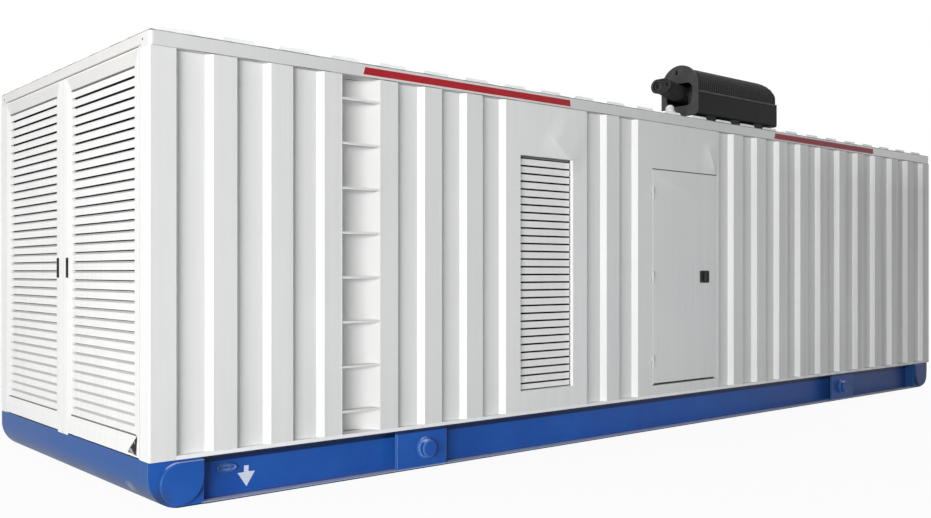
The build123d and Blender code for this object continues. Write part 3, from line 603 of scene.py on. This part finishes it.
def vinyl(name, one, other):
    material, tree = new_tree(name)
    place, spot = place_on(tree)
    fade = noise(tree, place, 3.0, 4.0)
    colour = mix(tree, ramp(tree, fade, 0.3, 0.7), one, other)
    # Painted shade: the film is darkened towards the rear.
    colour = mix(tree, ramp(tree, spot["X"], 0.0, 2.0, 0.0, 0.55), colour, "#5c1b2c")
    coat(tree, colour, 0.42, bumped(tree, noise(tree, place, 60.0), 0.0003, 0.4), 0.3)
    return material


def stripe(bm, side, start, stop, grow, proud):
    """One length of film, grown all round by a border and standing so far proud of the rail."""
    low, high = stripe_low - grow, stripe_high + grow
    outline = [(start - grow, low), (stop + stripe_slant / 3 + grow, low),
               (stop + grow, high), (start + stripe_slant - grow, high)]
    prism(bm, outline, side * rail_face, side * (rail_face + proud))


films = (("border", stripe_border, 0.0003, vinyl("Pale_vinyl_border", "#f0e2e2", "#e8d6d7")),
         ("red", 0, 0.0007, vinyl("Red_vinyl_film", "#a5121d", "#b11e29")))
for side, label in long_sides:
    for part, start, stop in stripe_runs:
        for name, grow, proud, film in films:
            piece(f"rail_stripe_{name}_{part}_{label}", film, "enclosure", "white_body_paint",
                  stripe, side, start, stop, grow, proud)


# Rail end plugs: a small rubber plug closes the hole in each end face of the two roof rails,
# a low round head with a flat rim, bloomed a little grey like the other seals.
rail_end, plug_y, plug_z, plug_radius, plug_proud = 4.5, 1.165, 2.455, 0.006, 0.002


def black_rubber():
    material, tree = new_tree("Black_seal_rubber")
    place = place_on(tree)[0]
    bloom = noise(tree, place, 40.0, 4.0)
    colour = mix(tree, ramp(tree, bloom, 0.3, 0.7), "#161718", "#26282a")
    coat(tree, colour, 0.7, bumped(tree, noise(tree, place, 600.0), 0.0002, 0.5), 0.2)
    return material


def dome(bm, middle, radius, proud, axis, sides=16):
    """A low round head standing off a face along an axis, with a flat rim."""
    turned = Vector(axis).to_track_quat("Z", "Y").to_matrix()
    rings = []
    for share, rise in ((1.0, 0.0), (1.0, 0.35), (0.8, 0.8), (0.4, 1.0)):
        ring = [Vector((radius * share * math.cos(a), radius * share * math.sin(a), proud * rise))
                for a in turns(sides)]
        rings.append([bm.verts.new(Vector(middle) + turned @ p) for p in ring])
    skin(bm, rings)


def rail_plugs(bm):
    for end in (-1, 1):
        for side in (-1, 1):
            dome(bm, (end * rail_end, side * plug_y, plug_z), plug_radius, plug_proud, (end, 0, 0))


rubber = black_rubber()
piece("rail_end_plugs", rubber, "enclosure", "black_plastic", rail_plugs)


# Ladder: a rolled trough of the same sheet with folded treads, painted with the walls. The
# trough is a little dull, and its front flank is painted whiter: painted light on its shaded side.
paint(["ladder_niche"], body_paint("White_niche_paint", "#e9eae9", "#dfe0df", flatten=1.5,
                                   tone=(-3.16, -3.25, "#ffffff")))
paint(["ladder_rungs"], body_paint("White_tread_paint", sheet_white, sheet_dust))


# Side louvres: pressed panels with a bank of folded blades in a dark throat, for the air drawn
# into the room. Behind the panel's skin the duct is lined in black, from just behind the blades'
# faces, so the lining also paints the shade in the throat. The sheet over the bank is dented.
# Grey strips of painted shadow lie at the blades' ends, along the foot of the bank and over its head.
bank_left, bank_right, bank_foot = -1.7985, -1.2645, 0.4225
blade_count, first_blade, blade_step = 30, 0.424, (1.983 - 0.422) / 29
blade_face, joint_proud, foot_proud = 1.2215, 0.0012, 0.0017
right_shadow_strip = [(-0.009, 0.0), (0.0, 0.003), (0.0, 0.037), (-0.0065, 0.040)]
left_shadow_strip_wide, left_joint_high, foot_joint_high = 0.004, 0.040, 0.007
head_low, head_high, head_back, head_face = 2.0355, 2.0455, 1.203, 1.206
bank_dent = ((-1.365, -1.25, 2.105), 0.913, (0.2, 0.42), 0.23, 190.0)
throat_paint = body_paint("White_louvre_paint", "#f1f2f2", "#dfe0e1", (1.2195, -1.81, -1.25), [bank_dent])
paint(["louvre_panel_right", "louvre_panel_left"], throat_paint)
paint(["louvre_blades_right", "louvre_blades_left"], body_paint("White_blade_paint", "#f6f6f6", "#e4e5e5"))


def louvre_shadow_strips(bm, side):
    """Grey strips of painted shadow at the ends of the blades and along the foot of the lowest one."""
    near, far, foot_far = [side * (blade_face + proud) for proud in (0, joint_proud, foot_proud)]
    for i in range(blade_count):
        low = first_blade + i * blade_step
        prism(bm, [(bank_right + p, low + q) for p, q in right_shadow_strip], near, far)
        prism(bm, rectangle(bank_left, bank_left + left_shadow_strip_wide, low, low + left_joint_high), near, far)
    prism(bm, rectangle(bank_left, bank_right, bank_foot, bank_foot + foot_joint_high), near, foot_far)


def louvre_head(bm, side):
    """The grey strip behind the gap over the highest blade, its grey a painted shade."""
    outline = rectangle(bank_left + 0.0005, bank_right - 0.0005, head_low, head_high)
    prism(bm, outline, side * head_back, side * head_face)


# Painted shade: grey stand-ins for the shadow gaps; the head strip's grey is lighter.
louvre_shadow_primer = body_paint("Grey_louvre_shadow_primer", "#47484a", "#3a3b3d")
head_primer = body_paint("Grey_head_primer", "#8c8d8f", "#7f8082")
for side, label in long_sides:
    piece(f"louvre_shadow_strips_{label}", louvre_shadow_primer, "enclosure", "white_body_paint", louvre_shadow_strips, side)
    piece(f"louvre_head_strip_{label}", head_primer, "enclosure", "white_body_paint", louvre_head, side)


# Side door: a flush sandwich leaf with rubber seals along its head and foot, a painted gasket
# in its hinge jamb and lift-off hinges. The sheets at its head are creased from a knock.
leaf_dent = ((-0.06, -1.25, 1.935), 1.35, (0.10, 0.16), 0.34, 90.0)
head_dent = ((0.454, -1.25, 2.169), 0.48, (0.17, 0.24), 0.17, 230.0)
seal_edge = 0.001
head_seal = (-0.336, -1.2508, 2.0425), (0.512, -1.244, 2.0487)
foot_seal = (-0.330, -1.2525, 0.361), (0.470, -1.249, 0.371)
hinge_gasket = (-0.3458, -1.2496, 0.362), (-0.3403, -1.2440, 2.041)
paint(["side_door"], body_paint("White_door_paint", sheet_white, sheet_dust, (1.190, *room[1:]), [leaf_dent]))
paint(["door_head"], body_paint("White_door_head_paint", sheet_white, sheet_dust, room, [head_dent]))
# The hinges are painted a greyer white than the leaf: painted shade.
paint(["side_door_hinges", "door_frame_hinges"], body_paint("White_hinge_paint", "#cfd0d1", "#c2c3c4"))


def slab(bm, low, high, edge):
    """A rectangular bar between two corners with its edges taken off."""
    made = bmesh.ops.create_cube(bm, size=1.0)["verts"]
    size = [h - l for l, h in zip(low, high)]
    middle = [(l + h) / 2 for l, h in zip(low, high)]
    for vert in made:
        vert.co = Vector([m + s * c for m, s, c in zip(middle, size, vert.co)])
    edges = list({e for v in made for e in v.link_edges})
    bmesh.ops.bevel(bm, geom=edges, offset=edge, segments=2, affect="EDGES")


def door_seals(bm):
    slab(bm, *head_seal, seal_edge)
    slab(bm, *foot_seal, seal_edge)


piece("side_door_seals", rubber, "side_door", "black_plastic", door_seals)
piece("door_jamb_gasket", white_paint, "enclosure", "white_body_paint", slab, *hinge_gasket, seal_edge)


# Latch and handles: black glass-filled plastic, moulded with a fine spark texture. The side
# door's latch has a raised paddle with a round lock over it.
paddle = (0.322, -1.2625, 1.166), (0.360, -1.2585, 1.222)
lock_middle, lock_radius, lock_proud = (0.341, -1.2585, 1.236), 0.009, 0.004


def moulded_plastic():
    material, tree = new_tree("Black_moulded_plastic")
    place = place_on(tree)[0]
    colour = mix(tree, noise(tree, place, 14.0, 3.0), "#0f0f10", "#1c1c1e")
    coat(tree, colour, 0.5, bumped(tree, noise(tree, place, 900.0), 0.0002, 0.5), 0.25)
    return material


def latch_paddle(bm):
    slab(bm, *paddle, 0.0015)
    dome(bm, lock_middle, lock_radius, lock_proud, (0, -1, 0), 20)


plastic = moulded_plastic()
paint(["side_door_latch", "end_door_right_handle", "end_door_left_handle"], plastic)
piece("latch_paddle", plastic, "side_door", "black_plastic", latch_paddle)


# End doors: two louvred leaves that close the front, folded from sheet with bevelled fields. Grey
# strips of painted shadow lie over and under each bank of blades, and a tab sits at the foot of each meeting
# stile.
field_inner, field_outer, field_head, field_foot, foot_outer = 0.128, 1.049, 2.335, 0.3755, 1.075
slot_high, foot_slot_high, slot_face, slot_back = 0.006, 0.0077, -4.4968, -4.490
tab_inner, tab_outer, tab_low, tab_high, tab_face, tab_back = 0.0045, 0.085, 0.2535, 0.286, -4.5024, -4.4996
end_paint = body_paint("White_end_door_paint", "#ecedec", "#dcdddd", (1.116, -4.4715, room[2]))
paint(["end_door_right", "end_door_left"], end_paint)
end_blade_paint = body_paint("White_end_blade_paint", "#ecedec", "#d2d3d2")
paint(["end_door_right_blades", "end_door_left_blades"], end_blade_paint)


def field_slots(bm, side):
    """Grey strips of painted shadow under the lowest blade and over the highest one."""
    for outer, low, high in ((foot_outer, field_foot, field_foot + foot_slot_high),
                             (field_outer, field_head - slot_high, field_head)):
        prism(bm, rectangle(side * field_inner, side * outer, low, high), slot_face, slot_back, "x")


def meeting_tab(bm, side):
    """The small plate that laps the skid at the foot of a meeting stile."""
    near, far = sorted((side * tab_inner, side * tab_outer))
    slab(bm, (tab_face, near, tab_low), (tab_back, far, tab_high), 0.0008)


slot_primer = body_paint("Grey_slot_primer", "#6b6a68", "#5c5b59")
for side, label in long_sides:
    leaf = f"end_door_{label}"
    piece(f"end_door_slots_{label}", slot_primer, leaf, "white_body_paint", field_slots, side)
    piece(f"meeting_tab_{label}", end_paint, leaf, "white_body_paint", meeting_tab, side)


# Torn foot: the near leaf is torn beside its hinge stile. A black sheet just inside the hole
# stands in for the shade in it, as painted shade, and scraps of the crumpled aluminium facing hang in it.
tear = [(-1.0915, 0.2745), (-1.0915, 0.3815), (-0.9755, 0.2805)]
tear_face, tear_back, foil_face, foil_back = -4.4962, -4.470, -4.4982, -4.4955
scraps = (
    [(-1.004, 0.303), (-1.022, 0.303), (-1.040, 0.288), (-1.063, 0.2765), (-1.020, 0.2785), (-0.986, 0.287)],
    [(-1.054, 0.346), (-1.060, 0.352), (-1.063, 0.333), (-1.056, 0.331)],
    [(-1.078, 0.292), (-1.088, 0.301), (-1.088, 0.277), (-1.079, 0.277)],
)


def foil_facing():
    material, tree = new_tree("Aluminium_foil_facing")
    cells = add(tree, "ShaderNodeTexVoronoi", {"Vector": place_on(tree)[0], "Scale": 70.0})
    crumple = cells.outputs["Distance"]
    colour = mix(tree, crumple, "#c9c8c4", "#8f8e8a")
    coat(tree, colour, 0.45, bumped(tree, crumple, 0.004, 0.8), metal=1.0)
    return material


def torn_lining(bm):
    prism(bm, tear, tear_face, tear_back, "x")


def foil_scraps(bm):
    for outline in scraps:
        prism(bm, outline, foil_face, foil_back, "x")


piece("torn_lining", rubber, "end_door_right", "black_plastic", torn_lining)
piece("foil_scraps", foil_facing(), "end_door_right", "white_body_paint", foil_scraps)


# Silencer: a ribbed half-round cover on a boxed casing, all in black heat-proof coating, greyer on
# the end plate that faces the weather. Its edges carry a painted grey highlight, the grooves between
# the ribs are painted darker as painted shade, the snout is painted a lighter black as painted
# light, and a grey roll along the ledge is a painted highlight.
cover_start, cover_length, rib_pitch = 0.350, 1.205, 0.028
rib_step = cover_length / int(cover_length / rib_pitch)
ledge_start, ledge_stop, ledge_z = 0.352, 1.548, 2.745
silencer_y, ledge_half = -1.010, 0.1735


def heatproof(name, base, worn, edge_tone, ribs=None):
    """Black coating; ribs gives the x of the first groove and the step between grooves."""
    material, tree = new_tree(name)
    place, spot = place_on(tree)
    colour = mix(tree, ramp(tree, noise(tree, place, 9.0, 5.0), 0.3, 0.7), base, worn)
    # Painted highlight: edges are mixed toward a lighter grey.
    edge, rounded = edge_share(tree, 0.004)
    colour = mix(tree, times(tree, edge, 0.6), colour, edge_tone)
    height = times(tree, noise(tree, place, 500.0), 0.1)
    if ribs:
        start, step = ribs
        turn = times(tree, maths(tree, "SUBTRACT", spot["X"], start), math.tau / step)
        crest = ramp(tree, maths(tree, "COSINE", turn), 0.9, -0.9)
        # Painted shade: the grooves between the ribs are darkened.
        colour = mix(tree, times(tree, crest, 0.8), "#0b0b0c", colour)
        height = maths(tree, "ADD", crest, height)
    coat(tree, colour, 0.5, bumped(tree, height, 0.003, 0.7, rounded), 0.12)
    return material


casing_black = heatproof("Black_heatproof_coating", "#0d0d0e", "#161617", "#505052")
cover_black = heatproof("Black_ribbed_coating", "#2a2a2c", "#343436", "#3c3c3e", (cover_start, rib_step))
plate_black = heatproof("Black_weathered_coating", "#3a3a3b", "#454546", "#6c6c6d")
# The snout's coating is a lighter black than the casing's: painted light for its lit top; the riser shares
# it.
snout_black = heatproof("Black_snout_coating", "#202021", "#2b2b2c", "#5a5a5b")
rubbed_grey = heatproof("Grey_rubbed_edge", "#4a4a4d", "#5c5c60", "#66666a")
paint(["silencer_casing", "silencer_feet"], casing_black)
paint(["silencer_cover"], cover_black)
paint(["silencer_end_frame"], plate_black)
paint(["silencer_inlet"], snout_black)


def ledge_bead(bm):
    """A grey roll along the ledge between casing and cover, on both sides; its grey is a painted highlight.
    """
    for side in (-1, 1):
        y = silencer_y + side * ledge_half
        tube(bm, run_points((ledge_start, y, ledge_z), (ledge_stop, y, ledge_z), 0.1), 0.0065, 10)


piece("silencer_ledge_bead", rubbed_grey, "enclosure", "black_heatproof_paint", ledge_bead)


# Inlet ports: two round ports in the face of the snout, a large and a small one. Each has two
# turned rings in its mouth and a dark blind bore behind them.
ports, port_z = ((-0.895, 0.042), (-1.001, 0.023)), 2.8005
port_ring_places, bore_x, bore_proud = ((1.0, 0.184), (0.62, 0.196)), 0.2095, 0.004


def port_rings(bm):
    for y, radius in ports:
        for share, x in port_ring_places:
            ring = [(x, y + radius * share * math.cos(a), port_z + radius * share * math.sin(a))
                    for a in turns(40)]
            tube(bm, ring, radius * 0.09, 8, closed=True)


def port_bores(bm):
    for y, radius in ports:
        dome(bm, (bore_x, y, port_z), radius * 0.98, bore_proud, (-1, 0, 0), 32)


piece("inlet_port_rings", plate_black, "enclosure", "black_heatproof_paint", port_rings)
piece("inlet_port_bores", rubber, "enclosure", "black_heatproof_paint", port_bores)


# Riser: a bent pipe that stands beside the snout in the pocket and turns back into the casing,
# in the same coating as the snout.
riser_y, riser_radius = -1.088, 0.034
riser_bend = [(0.405, 2.637), (0.404, 2.68), (0.403, 2.72), (0.406, 2.75), (0.415, 2.771), (0.432, 2.783),
              (0.455, 2.787)]


def pocket_riser(bm):
    tube(bm, [(x, riser_y, z) for x, z in riser_bend], riser_radius, 24)


piece("pocket_riser", snout_black, "enclosure", "black_heatproof_paint", pocket_riser)


# Breather cap: a small vent on the roof beside the silencer, of moulded cream plastic that has
# gone chalky in the sun.
def cream_plastic():
    material, tree = new_tree("Cream_moulded_plastic")
    chalk = noise(tree, place_on(tree)[0], 30.0, 4.0)
    colour = mix(tree, ramp(tree, chalk, 0.35, 0.65), "#d9d9d6", "#c4c4c0")
    coat(tree, colour, 0.6, bumped(tree, chalk, 0.0005, 0.4))
    return material


paint(["roof_fitting"], cream_plastic())
